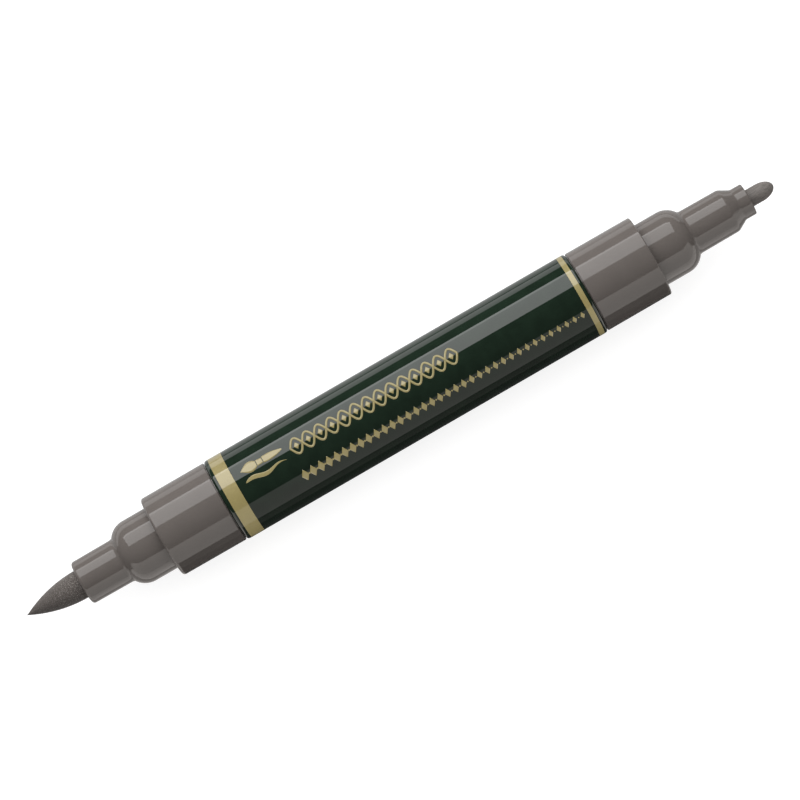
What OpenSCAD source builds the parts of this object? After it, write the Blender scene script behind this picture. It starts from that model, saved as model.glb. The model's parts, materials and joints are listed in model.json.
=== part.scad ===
// Felt tip marker with two tips and its caps off, lying on a table along X.
// The brush tip points to -X and the fine tip to +X. Millimetres, +Z up.
// The origin is on the table, under the middle of the length from tip to tip.

/* [Barrel] */
// Outside diameter of the barrel
barrel_d = 14; // [13.9:0.1:15]
// Length of the barrel between the two grey end sections
barrel_len = 65.15; // [55:0.05:80]
// Thickness of the barrel's wall
barrel_wall = 1; // [0.9:0.05:1.2]
// Radius that rounds both ends of the barrel
barrel_round = 0.45; // [0.1:0.05:0.5]
// Number of ribs inside the barrel that centre the reservoir
barrel_ribs = 6; // [3:1:8]

/* [Gold bands] */
// Width of the band at the brush end
wide_band_w = 2.35; // [1:0.05:4]
// Distance of the wide band from the barrel's end
wide_band_in = 0.75; // [0.6:0.05:3]
// Width of the band at the fine end
narrow_band_w = 0.9; // [0.4:0.05:2]
// Distance of the narrow band from the barrel's end
narrow_band_in = 0.6; // [0.6:0.05:3]
// Thickness of the foil, which lies flush in the barrel
band_t = 0.1; // [0.05:0.05:0.2]

/* [Collars] */
// Length of the collar at the brush end
brush_collar_len = 11.35; // [10:0.05:14]
// Length of the collar at the fine end
fine_collar_len = 11.45; // [10:0.05:14]
// Outside diameter of a collar beside the barrel
collar_back_d = 13.76; // [13.6:0.02:13.8]
// Outside diameter of a collar at its open face
collar_face_d = 13.7; // [13.5:0.02:13.8]
// Radius that rounds the brush collar's face
brush_face_round = 0.45; // [0.1:0.05:0.5]
// Radius that rounds the fine collar's face
fine_face_round = 0.2; // [0.1:0.05:0.5]
// Thickness of the collar's face wall
collar_face_t = 0.6; // [0.5:0.05:0.8]
// Width of the shadow groove between collar and barrel
seam_w = 0.15; // [0.1:0.05:0.3]

/* [Holders] */
// Diameter of the shoulder that a cap slides over
shoulder_d = 10.72; // [10.6:0.02:10.8]
// Length of that shoulder
shoulder_len = 4.1; // [3:0.1:6]
// Radius of the dome between shoulder and neck
dome_r = 3.48; // [3.2:0.02:3.6]
// Diameter of the neck at its root
neck_d = 7.44; // [7.3:0.02:7.6]
// Diameter of the neck at its far end, smaller by the mould's draft
neck_end_d = 7.34; // [7.2:0.02:7.4]
// Distance from the collar's face to the mouth of the brush neck
brush_mouth = 14.45; // [13:0.05:16]
// Radius that rounds the brush neck's mouth
mouth_round = 0.5; // [0.1:0.05:0.6]
// Distance from the collar's face to where the fine neck starts to narrow
fine_neck_len = 14.1; // [13:0.05:16]
// Length of the cone that narrows the fine neck
fine_cone_len = 1.8; // [1:0.1:3]
// Diameter of the lip round the fine nib
fine_lip_d = 5.32; // [5:0.02:5.6]
// Length of that lip
fine_lip_len = 1.9; // [1:0.1:3]
// How far the holder's plug reaches into the barrel
plug_len = 8; // [5:0.5:12]
// Number of ribs in each neck that grip the nib
neck_ribs = 6; // [3:1:8]

/* [Nibs] */
// Diameter of the brush nib
brush_nib_d = 4.75; // [4.5:0.05:4.8]
// Length of brush nib outside its neck
brush_nib_out = 9.9; // [8:0.1:12]
// Straight length of brush nib between the mouth and the taper
brush_nib_straight = 0.2; // [0.1:0.1:0.5]
// Distance of the bend's centre from the mouth
bend_out = 1.2; // [1.2:0.1:1.6]
// Diameter of the fine nib
fine_nib_d = 2.9; // [2.5:0.05:3]
// Length of fine nib outside its lip
fine_nib_out = 4.4; // [3.5:0.1:6]
// Length of the fine nib's rounded end
fine_nib_round = 2.5; // [1.5:0.1:3]
// How far each nib's tail reaches into the reservoir
tail_in = 7; // [4:0.5:12]

/* [Reservoir] */
// Outside diameter of the wrapped reservoir
reservoir_d = 10.4; // [10:0.1:10.4]
// Thickness of the film round the reservoir
film_t = 0.15; // [0.1:0.05:0.3]
// Distance from a collar's face back to the step that stops the reservoir
reservoir_stop = 1; // [0.8:0.1:3]

/* [Hidden] */
$fn = 96;

// Fits: radial interference of a press fit, and radial gap of a running or a loose fit.
press = 0.02;
running = 0.055;
loose = 0.3;

// Places along X.
brush_side = seam_w + brush_collar_len + brush_mouth + brush_nib_out;
fine_mouth = fine_neck_len + fine_cone_len + fine_lip_len;
fine_side = seam_w + fine_collar_len + fine_mouth + fine_nib_out;
total_len = brush_side + barrel_len + fine_side;
barrel_x0 = brush_side - total_len / 2;
barrel_x1 = barrel_x0 + barrel_len;
brush_face_x = barrel_x0 - seam_w - brush_collar_len;
fine_face_x = barrel_x1 + seam_w + fine_collar_len;
axis_z = barrel_d / 2;

// Radii.
barrel_r = barrel_d / 2;
bore_r = barrel_r - barrel_wall;
shoulder_r = shoulder_d / 2;
cavity_r = shoulder_r - 1.06;
seat_r = reservoir_d / 2 + running;
brush_nib_r = brush_nib_d / 2;
fine_nib_r = fine_nib_d / 2;
fine_lip_r = fine_lip_d / 2;
neck_bore_r = neck_d / 2 - 0.82;
lip_bore_r = fine_lip_r - 0.7;

// The brush nib: an arc of this radius, tangent to the shank, narrows it to a point.
taper_len = brush_nib_out - brush_nib_straight;
taper_r = (pow(taper_len, 2) + pow(brush_nib_r, 2)) / (2 * brush_nib_r);
point_r = 0.1;
bend_t = brush_mouth + bend_out;
knuckle_r = brush_nib_r - 0.095;
socket_r = knuckle_r + 0.08;
shank_end = bend_t - 0.9;
taper_start = bend_t + 0.35;

// Small features.
rib_w = 0.5;
barrel_rib_w = 0.7;
undercut = 0.5;
edge = 0.1;

// Points along an arc, from angle a0 to angle a1.
function arc(centre, r, a0, a1, steps = 8) = [
    for (i = [0:steps])
        let (a = a0 + (a1 - a0) * i / steps)
        [centre[0] + r * cos(a), centre[1] + r * sin(a)]
];

// Radius of the brush nib at distance t from the collar's face.
function taper_at(t) =
    sqrt(pow(taper_r, 2) - pow(t - brush_mouth - brush_nib_straight, 2)) - taper_r + brush_nib_r;

// Outline, as [radius, distance], of the outside that both holders share, from plug to neck root.
function holder_back(collar_len) = [
    [bore_r - 3 * edge, -collar_len - seam_w - plug_len],
    [bore_r + press, -collar_len - seam_w - plug_len + 4 * edge],
    [bore_r + press, -collar_face_t],
    [shoulder_r - undercut, -collar_face_t],
    [shoulder_r - undercut, 0],
    [shoulder_r, 0]
];

// Outline of the shoulder's edge and the dome down to the neck.
function dome() =
    let (centre_r = shoulder_r - dome_r, meet = acos((neck_d / 2 - centre_r) / dome_r))
    arc([centre_r, shoulder_len], dome_r, 0, meet, 14);

// Inside of both holders, from the neck's bore back to the open end of the plug.
function holder_inside(collar_len) = [
    [neck_bore_r, shoulder_len + 1.4],
    [cavity_r, shoulder_len],
    [cavity_r, -reservoir_stop],
    [seat_r, -reservoir_stop],
    [seat_r, -collar_len - seam_w - plug_len]
];

// Put a turned shape, drawn along Z, on the marker's axis.
module at_barrel() {
    translate([0, 0, axis_z]) rotate([0, 90, 0]) children();
}

// The same at either end, with Z measured outwards from the collar's face.
module at_brush_end() {
    translate([brush_face_x, 0, axis_z]) rotate([0, -90, 0]) children();
}

module at_fine_end() {
    translate([fine_face_x, 0, axis_z]) rotate([0, 90, 0]) children();
}

module turned(outline) {
    rotate_extrude() polygon(outline);
}

// A ring from radius r0 to r1, from z0 to z1.
module ring(r0, r1, z0, z1) {
    turned([[r0, z0], [r1, z0], [r1, z1], [r0, z1]]);
}

// Lengthwise ribs that stand inwards from r1 and end on a circle of radius r0.
module ribs(count, width, r0, r1, z0, z1) {
    difference() {
        for (i = [0:count - 1])
            rotate([0, 0, (i + 0.5) * 360 / count])
                translate([r0 - width, -width / 2, z0])
                    cube([r1 - r0 + width, width, z1 - z0]);
        translate([0, 0, z0 - 1]) cylinder(r = r0, h = z1 - z0 + 2);
    }
}

module barrel_shell() {
    turned(concat(
        [[bore_r, barrel_x0]],
        arc([barrel_r - barrel_round, barrel_x0 + barrel_round], barrel_round, -90, 0, 5),
        [
            [barrel_r, barrel_x0 + wide_band_in],
            [barrel_r - band_t, barrel_x0 + wide_band_in],
            [barrel_r - band_t, barrel_x0 + wide_band_in + wide_band_w],
            [barrel_r, barrel_x0 + wide_band_in + wide_band_w],
            [barrel_r, barrel_x1 - narrow_band_in - narrow_band_w],
            [barrel_r - band_t, barrel_x1 - narrow_band_in - narrow_band_w],
            [barrel_r - band_t, barrel_x1 - narrow_band_in],
            [barrel_r, barrel_x1 - narrow_band_in]
        ],
        arc([barrel_r - barrel_round, barrel_x1 - barrel_round], barrel_round, 0, 90, 5),
        [[bore_r, barrel_x1]]
    ));
}

module barrel_tube() {
    color([0.11, 0.14, 0.12])
        at_barrel() {
            barrel_shell();
            ribs(barrel_ribs, barrel_rib_w, reservoir_d / 2 + running, bore_r + barrel_wall / 2,
                barrel_x0 + plug_len + loose, barrel_x1 - plug_len - loose);
        }
}

module wide_gold_band() {
    color([0.72, 0.66, 0.45])
        at_barrel()
            ring(barrel_r - band_t, barrel_r,
                barrel_x0 + wide_band_in, barrel_x0 + wide_band_in + wide_band_w);
}

module narrow_gold_band() {
    color([0.72, 0.66, 0.45])
        at_barrel()
            ring(barrel_r - band_t, barrel_r,
                barrel_x1 - narrow_band_in - narrow_band_w, barrel_x1 - narrow_band_in);
}

// Fibre reservoir, with a pocket at each end that the nib's tail sits in.
module reservoir_core() {
    x0 = brush_face_x + reservoir_stop + loose;
    x1 = fine_face_x - reservoir_stop - loose;
    color([0.25, 0.32, 0.28])
        at_barrel()
            difference() {
                translate([0, 0, x0]) cylinder(r = reservoir_d / 2 - film_t, h = x1 - x0);
                translate([0, 0, x0 - 1])
                    cylinder(r = brush_nib_r + running, h = tail_in + loose + 1);
                translate([0, 0, x1 - tail_in - loose])
                    cylinder(r = fine_nib_r + running, h = tail_in + loose + 1);
            }
}

// Plastic film wrapped round the reservoir; the fibres stand out of it at both ends.
module reservoir_film() {
    color([0.85, 0.87, 0.85])
        at_barrel()
            ring(reservoir_d / 2 - film_t, reservoir_d / 2,
                brush_face_x + reservoir_stop + 4 * loose, fine_face_x - reservoir_stop - 4 * loose);
}

// Cup that slides on over the shoulder, with a register that butts against the barrel.
module collar(len, face_round) {
    turned(concat(
        [
            [bore_r, -len - seam_w],
            [bore_r + barrel_wall / 2, -len - seam_w],
            [bore_r + barrel_wall / 2, -len],
            [collar_back_d / 2 - edge, -len],
            [collar_back_d / 2, -len + edge]
        ],
        arc([collar_face_d / 2 - face_round, -face_round], face_round, 0, 90, 5),
        [
            [shoulder_r + running, 0],
            [shoulder_r + running, -collar_face_t],
            [bore_r, -collar_face_t]
        ]
    ));
}

module brush_collar() {
    color([0.53, 0.51, 0.49])
        at_brush_end() collar(brush_collar_len, brush_face_round);
}

module fine_collar() {
    color([0.55, 0.53, 0.51])
        at_fine_end() collar(fine_collar_len, fine_face_round);
}

module brush_holder() {
    color([0.52, 0.5, 0.48])
        at_brush_end() {
            turned(concat(
                holder_back(brush_collar_len),
                dome(),
                arc([neck_end_d / 2 - mouth_round, brush_mouth - mouth_round], mouth_round, 0, 90, 5),
                [
                    [neck_bore_r + edge, brush_mouth],
                    [neck_bore_r, brush_mouth - edge]
                ],
                holder_inside(brush_collar_len)
            ));
            ribs(neck_ribs, rib_w, brush_nib_r + running, neck_bore_r + rib_w / 2,
                shoulder_len + 2, brush_mouth - 4 * edge);
        }
}

module fine_holder() {
    color([0.54, 0.52, 0.5])
        at_fine_end() {
            turned(concat(
                holder_back(fine_collar_len),
                dome(),
                [
                    [neck_end_d / 2, fine_neck_len - 2 * edge],
                    [neck_end_d / 2 - edge, fine_neck_len],
                    [fine_lip_r, fine_neck_len + fine_cone_len],
                    [fine_lip_r, fine_mouth - edge],
                    [fine_lip_r - edge, fine_mouth],
                    [lip_bore_r, fine_mouth],
                    [lip_bore_r, fine_neck_len - 1],
                    [neck_bore_r, fine_neck_len - 2]
                ],
                holder_inside(fine_collar_len)
            ));
            ribs(neck_ribs, rib_w, fine_nib_r + running, lip_bore_r + rib_w / 2,
                fine_neck_len - 0.9, fine_mouth - 4 * edge);
        }
}

// A cylinder across the brush nib, on the line that its tip bends about.
module across_bend(r) {
    translate([0, 0, bend_t]) rotate([90, 0, 0]) cylinder(r = r, h = 3 * brush_nib_r, center = true);
}

// Back of the brush nib. Its tip turns in the hollow at its front.
module brush_nib_shank() {
    tail = -reservoir_stop - loose - tail_in;
    color([0.42, 0.4, 0.38])
        at_brush_end()
            difference() {
                translate([0, 0, tail]) cylinder(r = brush_nib_r, h = shank_end - tail);
                across_bend(socket_r);
            }
}

// Tapered front of the brush nib, with the knuckle that it turns on.
module brush_nib_tip() {
    t1 = brush_mouth + brush_nib_out;
    color([0.4, 0.38, 0.36])
        at_brush_end() {
            intersection() {
                translate([0, 0, bend_t]) sphere(r = taper_at(bend_t));
                across_bend(knuckle_r);
            }
            turned(concat(
                [[0, bend_t]],
                [[taper_at(taper_start) - edge, bend_t], [taper_at(taper_start), taper_start]],
                [
                    for (i = [1:15])
                        let (t = taper_start + (t1 - taper_start) * i / 16)
                        [taper_at(t), t]
                ],
                [[point_r, t1 - point_r], [0, t1]]
            ));
        }
}

module fine_nib() {
    tail = -reservoir_stop - loose - tail_in;
    t1 = fine_mouth + fine_nib_out;
    color([0.45, 0.43, 0.41])
        at_fine_end()
            turned(concat(
                [[0, tail], [fine_nib_r, tail]],
                [
                    for (i = [0:11])
                        let (a = 90 * i / 12)
                        [fine_nib_r * cos(a), t1 - fine_nib_round + fine_nib_round * sin(a)]
                ],
                [[0, t1]]
            ));
}

barrel_tube();
wide_gold_band();
narrow_gold_band();
reservoir_core();
reservoir_film();
brush_collar();
brush_holder();
brush_nib_shank();
brush_nib_tip();
fine_collar();
fine_holder();
fine_nib();
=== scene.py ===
"""Felt tip marker with a brush tip and a fine tip, its caps off, lying on a pale table.

Lengths are in metres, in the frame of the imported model: the marker lies along X, its brush tip
points to -X, and the table is at Z 0. An outline is a list of corners (distance, radius, rounding),
where the distance runs outwards from a collar's face or, on the barrel, along X.
"""

import json
import math

import bmesh
import bpy
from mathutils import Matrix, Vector


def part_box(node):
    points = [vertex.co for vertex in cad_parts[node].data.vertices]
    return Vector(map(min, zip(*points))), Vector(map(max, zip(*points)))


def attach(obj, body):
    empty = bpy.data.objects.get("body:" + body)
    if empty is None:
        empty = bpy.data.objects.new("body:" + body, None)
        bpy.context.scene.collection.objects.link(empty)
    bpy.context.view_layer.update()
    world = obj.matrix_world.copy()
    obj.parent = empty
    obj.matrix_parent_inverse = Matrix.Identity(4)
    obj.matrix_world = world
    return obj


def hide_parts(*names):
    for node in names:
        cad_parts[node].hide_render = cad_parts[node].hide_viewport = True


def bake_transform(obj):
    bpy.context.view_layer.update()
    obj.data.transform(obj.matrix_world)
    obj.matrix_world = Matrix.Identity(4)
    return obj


bl_info = {
    "name": "Felt Tip Marker",
    "version": (1, 0, 0),
    "blender": (4, 5, 0),
    "location": "3D View > Sidebar > Marker",
    "description": "A twin felt tip marker built around its packed parts",
    "category": "Add Mesh",
}

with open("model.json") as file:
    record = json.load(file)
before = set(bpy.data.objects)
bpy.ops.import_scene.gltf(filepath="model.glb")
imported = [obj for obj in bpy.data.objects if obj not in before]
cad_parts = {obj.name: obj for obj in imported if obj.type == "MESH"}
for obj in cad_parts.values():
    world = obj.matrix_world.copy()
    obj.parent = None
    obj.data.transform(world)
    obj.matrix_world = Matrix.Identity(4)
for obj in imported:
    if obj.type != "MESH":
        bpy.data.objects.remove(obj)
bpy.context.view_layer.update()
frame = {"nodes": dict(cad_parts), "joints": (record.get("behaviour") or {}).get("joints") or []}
MM = 0.001
PI = math.pi

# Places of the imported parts.
BARREL_LOW, BARREL_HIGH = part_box("barrel_tube")
AXIS_Z = (BARREL_LOW.z + BARREL_HIGH.z) / 2
BARREL_R = (BARREL_HIGH.z - BARREL_LOW.z) / 2
BEND_X = next(j["pos_m"][0] for j in frame["joints"] if j["name"] == "brush_bend")

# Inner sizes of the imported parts, which their boxes don't show.
BORE_R = BARREL_R - 1 * MM
RESERVOIR_SPACE_R = 5.255 * MM
SEAM = 0.15 * MM  # between the barrel's end and a collar
PLUG_LEN = 8 * MM  # of a holder, inside the barrel
STEP_DEPTH = 0.6 * MM  # of a collar's hole, which the holder's step fills
NECK_ROOT = 3.31 * MM  # beyond the end of the shoulder
RUNNING_GAP = 0.055 * MM  # round a nib or a shoulder
INSIDE_MOUTH = 0.5 * MM  # where a nib's fine rings start

# Foil of the bands and of the ornament.
BAND_GROOVE = 0.1 * MM
FOIL_THICKNESS = 0.024 * MM
FOIL_SUNK = 0.012 * MM

# Points closer than this are merged.
MERGE_DIST = 1e-7

# The camera looks straight down on the marker, turned by this many degrees.
CAMERA_Z = 0.680
CAMERA_TURN = -30
CAMERA_LENS = 193.4


class End:
    """One end of the marker. Distances run outwards from the face of its collar."""

    def __init__(self, name, side, nib_nodes):
        collar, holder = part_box(f"{name}_collar"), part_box(f"{name}_holder")
        nibs = [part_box(node) for node in nib_nodes]
        outer = 1 if side > 0 else 0
        self.name = name
        self.side = side
        self.face = collar[outer].x
        self.collar_len = collar[1].x - collar[0].x - SEAM
        self.collar_r = (collar[1].z - collar[0].z) / 2
        self.plug_end = -self.collar_len - SEAM - PLUG_LEN
        self.mouth = abs(holder[outer].x - self.face)
        self.nib_r = (nibs[0][1].z - nibs[0][0].z) / 2
        self.nib_tip = max(abs(corner.x - self.face) for box in nibs for corner in box)
        self.nib_tail = side * (nibs[0][1 - outer].x - self.face)

    def x(self, distance):
        """The place along X of a distance."""
        return self.face + self.side * distance

    def along(self, corners):
        """Corners with their distances turned into places along X."""
        return [(self.x(t), r, rounding) for t, r, rounding in corners]


BRUSH = End("brush", -1, ["brush_nib_shank", "brush_nib_tip"])
FINE = End("fine", 1, ["fine_nib"])


# ---- sizes, colours and the light


def length(name, description, default):
    """A length property, shown in the scene's units. Its default is given in millimetres."""
    return bpy.props.FloatProperty(
        name=name, description=description, default=default * MM, subtype="DISTANCE",
        unit="LENGTH", precision=5,
    )


def colour(name, description, default):
    """A linear colour property."""
    return bpy.props.FloatVectorProperty(
        name=name, description=description, default=default, subtype="COLOR", size=3,
        min=0.0, max=1.0,
    )


def whole(name, description, default, low, high):
    """A whole number property."""
    return bpy.props.IntProperty(
        name=name, description=description, default=default, min=low, max=high
    )


def brightness(name, description, default):
    """A brightness property, of a light or a surface."""
    return bpy.props.FloatProperty(name=name, description=description, default=default)


class MarkerSizes(bpy.types.PropertyGroup):
    """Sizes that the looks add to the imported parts."""

    sides: whole("Sides", "Faces round a turned piece", 192, 24, 256)
    foil_step: length("Foil step", "How far the foil stands out of the barrel", 0.015)
    barrel_round: length("Barrel rounding", "Rounding of the barrel's two ends", 0.45)
    brush_face_round: length("Brush face rounding", "Rounding of the brush collar", 0.45)
    fine_face_round: length("Fine face rounding", "Rounding of the fine collar", 0.2)
    shoulder_len: length("Shoulder length", "Length of the step that a cap slides over", 4.1)
    shoulder_r: length("Shoulder radius", "Radius of that step", 5.36)
    dome_r: length("Dome radius", "Radius of the dome between shoulder and neck", 3.48)
    neck_r: length("Neck radius", "Radius of the neck at its root", 3.72)
    neck_end_r: length("Neck end radius", "Radius of the neck at its far end", 3.67)
    neck_fillet: length("Neck fillet", "Rounding of the inside corner at the neck", 0.14)
    lip_r: length("Lip radius", "Radius of the lip round the fine nib", 2.66)
    lip_len: length("Lip length", "Length of that lip", 1.9)
    cone_len: length("Cone length", "Length of the cone behind the lip", 1.8)
    mouth_round: length("Mouth rounding", "Rounding of the brush neck's mouth", 0.5)
    grip_rib: length("Grip rib", "Width of a rib that grips a nib", 0.5)
    felt_grain: length("Felt grain", "Size of the felt's grain", 0.16)
    felt_relief: length("Felt relief", "Height of the felt's grain", 0.035)
    fibre_grain: length("Fibre grain", "Width of the fine nib's lengthwise furrows", 0.13)
    fibre_relief: length("Fibre relief", "Depth of the fine nib's lengthwise furrows", 0.03)
    fuzz_count: whole("Fuzz", "Loose fibres on the brush nib", 900, 0, 4000)


class MarkerColours(bpy.types.PropertyGroup):
    """Colours of the marker's finishes."""

    barrel: colour("Barrel", "Dark green barrel plastic", (0.0058, 0.0115, 0.0070))
    foil: colour("Foil", "Gold foil", (0.125, 0.103, 0.040))
    grey: colour("Grey", "Warm grey plastic of the end sections", (0.077, 0.068, 0.0626))
    felt: colour("Felt", "Inked felt of the brush nib", (0.070, 0.061, 0.056))
    flecks: colour("Flecks", "Paler fibre ends in the felt", (0.185, 0.171, 0.160))
    bullet: colour("Bullet", "Bundled fibre of the fine nib", (0.110, 0.099, 0.091))
    ink: colour("Ink", "Fibre of the reservoir, soaked with ink", (0.03, 0.045, 0.038))
    film: colour("Film", "Wrap round the reservoir", (0.62, 0.65, 0.62))


class MarkerPrint(bpy.types.PropertyGroup):
    """The foil ornament on the barrel: a brush sign and two rows."""

    rows_start: length("Rows start", "Where both rows start along X", -18.5)
    wave_len: length("Wave row length", "Length of the wave row", 29.8)
    wave_count: whole("Waves", "Full waves in the wave row", 7, 1, 20)
    wave_up: length("Wave row place", "Wave row's distance round the barrel", 1.95)
    wave_height: length("Wave height", "Height of the wave row", 3.0)
    wave_line: length("Wave line", "Width of the wave row's line", 0.34)
    lozenge_len: length("Lozenge row length", "Length of the lozenge row", 49.6)
    lozenge_count: whole("Lozenges", "Lozenges in their row", 36, 2, 80)
    lozenge_down: length("Lozenge row place", "Lozenge row's distance round the barrel", -2.86)
    lozenge_broad: length("Broad lozenge", "Height of the first lozenge", 2.1)
    lozenge_fine: length("Fine lozenge", "Height of the last lozenge", 1.15)
    sign_start: length("Sign start", "Where the brush sign starts along X", -27.1)
    sign_len: length("Sign length", "Length of the brush sign", 7.4)
    sign_up: length("Sign place", "Brush sign's distance round the barrel", 1.95)


class MarkerLight(bpy.types.PropertyGroup):
    """Brightness of the soft boxes and of the table."""

    key: brightness("Key", "Radiance of the key light", 3.0)
    key_rim: brightness("Key rim", "Added radiance along the key light's outer edge", 1.3)
    fill: brightness("Fill", "Radiance of the fill light", 0.66)
    bounce: brightness("Bounce", "Radiance of the light off the table behind", 0.58)
    skirt: brightness("Skirt", "Radiance of the narrow light below the fill light", 0.12)
    cards: brightness("Cards", "Radiance of the cards under both ends", 0.94)
    wash: brightness("Wash", "Radiance of the wide wash, which has no highlight", 2.4)
    table: brightness("Table", "The table's own radiance", 0.86)
    room: brightness("Room", "Light of the room", 0.05)


GROUPS = {
    "marker_sizes": MarkerSizes,
    "marker_colours": MarkerColours,
    "marker_print": MarkerPrint,
    "marker_light": MarkerLight,
}


# ---- node trees


def arithmetic(operation, swapped=False):
    """An operator of Wire that adds a Math node."""
    def act(self, other):
        values = (other, self) if swapped else (self, other)
        return self.nodes.maths(operation, *values)

    return act


class Wire:
    """An output socket. Arithmetic on it adds Math nodes."""

    def __init__(self, nodes, socket):
        self.nodes = nodes
        self.socket = socket

    __add__ = __radd__ = arithmetic("ADD")
    __sub__ = arithmetic("SUBTRACT")
    __rsub__ = arithmetic("SUBTRACT", swapped=True)
    __mul__ = __rmul__ = arithmetic("MULTIPLY")
    __truediv__ = arithmetic("DIVIDE")
    __rtruediv__ = arithmetic("DIVIDE", swapped=True)
    __pow__ = arithmetic("POWER")


class Nodes:
    """A node tree under construction. Every node in it comes from add()."""

    def __init__(self, tree):
        self.tree = tree
        self.tree.nodes.clear()

    def add(self, kind, sockets=None, output=0, **settings):
        """A new node of that kind. Its settings are made first, then its sockets' values or
        links, which are given by name or by number."""
        node = self.tree.nodes.new(kind)
        for name, value in settings.items():
            setattr(node, name, value)
        for name, value in (sockets or {}).items():
            if isinstance(value, Wire):
                self.tree.links.new(value.socket, node.inputs[name])
            else:
                node.inputs[name].default_value = value
        return Wire(self, node.outputs[output]) if node.outputs else node

    def maths(self, operation, *values):
        """The result of a Math node."""
        return self.add("ShaderNodeMath", dict(enumerate(values)), operation=operation)

    def vector(self, operation, *values):
        """The result of a Vector Math node."""
        return self.add("ShaderNodeVectorMath", dict(enumerate(values)), operation=operation)

    def scaled(self, vector, factor):
        """A vector times a number."""
        sockets = {0: vector, "Scale": factor}
        return self.add("ShaderNodeVectorMath", sockets, operation="SCALE")

    def parts(self, vector):
        """The X, Y and Z of a vector."""
        first = self.add("ShaderNodeSeparateXYZ", {0: vector})
        return [Wire(self, socket) for socket in first.socket.node.outputs]

    def joined(self, x, y, z):
        """A vector of an X, a Y and a Z."""
        return self.add("ShaderNodeCombineXYZ", {0: x, 1: y, 2: z})

    def noise(self, vector, scale, detail=2.0, roughness=0.5):
        """Noise from 0 to 1, with scale in patches per unit of the vector."""
        return self.add("ShaderNodeTexNoise", {
            "Vector": vector, "Scale": scale, "Detail": detail, "Roughness": roughness,
        })

    def between(self, value, low, high):
        """0 below low, 1 above high, and a smooth step between them."""
        sockets = {"Value": value, 1: low, 2: high}
        return self.add("ShaderNodeMapRange", sockets, interpolation_type="SMOOTHSTEP")

    def mixed(self, factor, first, second):
        """A mix of two colours."""
        sockets = {0: factor, 6: first, 7: second}
        return self.add("ShaderNodeMix", sockets, output=2, data_type="RGBA")


class GeometryNodes(Nodes):
    """A geometry tree with named inputs, which ends in Realize Instances and Set Material."""

    KINDS = {int: "NodeSocketInt", float: "NodeSocketFloat"}

    def __init__(self, name, inputs):
        super().__init__(bpy.data.node_groups.new(name, "GeometryNodeTree"))
        sockets = self.tree.interface
        sockets.new_socket("Geometry", in_out="INPUT", socket_type="NodeSocketGeometry")
        sockets.new_socket("Geometry", in_out="OUTPUT", socket_type="NodeSocketGeometry")
        for label, value in inputs.items():
            made = sockets.new_socket(label, in_out="INPUT", socket_type=self.KINDS[type(value)])
            made.default_value = value
        start = self.tree.nodes.new("NodeGroupInput")
        self.inputs = {socket.name: Wire(self, socket) for socket in start.outputs if socket.name}

    def joined_up(self, *shapes):
        """Several geometries as one."""
        node = self.tree.nodes.new("GeometryNodeJoinGeometry")
        for shape in reversed(shapes):
            self.tree.links.new(shape.socket, node.inputs[0])
        return Wire(self, node.outputs[0])

    def moved(self, shape, **places):
        """Geometry with its points set to a Position, or shifted by an Offset."""
        return self.add("GeometryNodeSetPosition", {"Geometry": shape, **places})

    def placed(self, shape, **places):
        """Geometry with a Translation, a Rotation or a Scale."""
        return self.add("GeometryNodeTransform", {"Geometry": shape, **places})

    def row(self, count, start, place, height, pitch):
        """Points in a row along X."""
        return self.add("GeometryNodeMeshLine", {
            "Count": count, "Start Location": self.joined(start, place, height),
            "Offset": self.joined(pitch, 0.0, 0.0),
        }, mode="OFFSET")

    def set_on(self, points, shape, **places):
        """A shape set on every point, with a Rotation or a Scale."""
        sockets = {"Points": points, "Instance": shape, **places}
        return self.add("GeometryNodeInstanceOnPoints", sockets)

    def position(self):
        """The X, Y and Z of every point."""
        return self.parts(self.add("GeometryNodeInputPosition"))

    def finish(self, shape, finish):
        """Close the tree with its material."""
        shape = self.add("GeometryNodeRealizeInstances", {0: shape})
        shape = self.add("GeometryNodeSetShadeSmooth", {"Geometry": shape})
        shape = self.add("GeometryNodeSetMaterial", {"Geometry": shape, "Material": finish})
        self.add("NodeGroupOutput", {0: shape})
        return self.tree


# ---- pieces from outlines and trees


def smooth_arc(centre, radius, start, end, steps=20):
    """Points on an arc, in degrees from the outward direction, as corners with no rounding."""
    turns = [math.radians(start + (end - start) * i / steps) for i in range(steps + 1)]
    return [
        (centre[0] + radius * math.sin(a), centre[1] + radius * math.cos(a), None) for a in turns
    ]


def outline(corners, closed=True, support=0.03 * MM, steps=6):
    """Points of an outline whose corners are rounded, each with a point of support on either
    side, so that smooth shading stays flat between corners. A rounding of None is a plain point."""
    points = []
    for i, (x, r, rounding) in enumerate(corners):
        here = Vector((x, r))
        at_end = not closed and i in (0, len(corners) - 1)
        if rounding is None or at_end:
            points.append(here)
            continue
        back = Vector(corners[i - 1][:2]) - here
        ahead = Vector(corners[(i + 1) % len(corners)][:2]) - here
        a, b = back.normalized(), ahead.normalized()
        half = a.angle(b) / 2
        cut = rounding / math.tan(half)
        if back.length > cut + 3 * support:
            points.append(here + a * (cut + support))
        if rounding > 0:
            centre = here + (a + b).normalized() * rounding / math.sin(half)
            u, v = here + a * cut - centre, here + b * cut - centre
            turn = u.angle(v)
            points += [
                centre + (u * math.sin(turn * (1 - k / steps)) + v * math.sin(turn * k / steps))
                / math.sin(turn)
                for k in range(steps + 1)
            ]
        else:
            points.append(here)
        if ahead.length > cut + 3 * support:
            points.append(here + b * (cut + support))
    return points


def new_object(name, vertices=(), edges=(), faces=()):
    """A new object in the scene with that mesh."""
    mesh = bpy.data.meshes.new(name)
    mesh.from_pydata(vertices, edges, faces)
    made = bpy.data.objects.new(name, mesh)
    bpy.context.scene.collection.objects.link(made)
    return made


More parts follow.
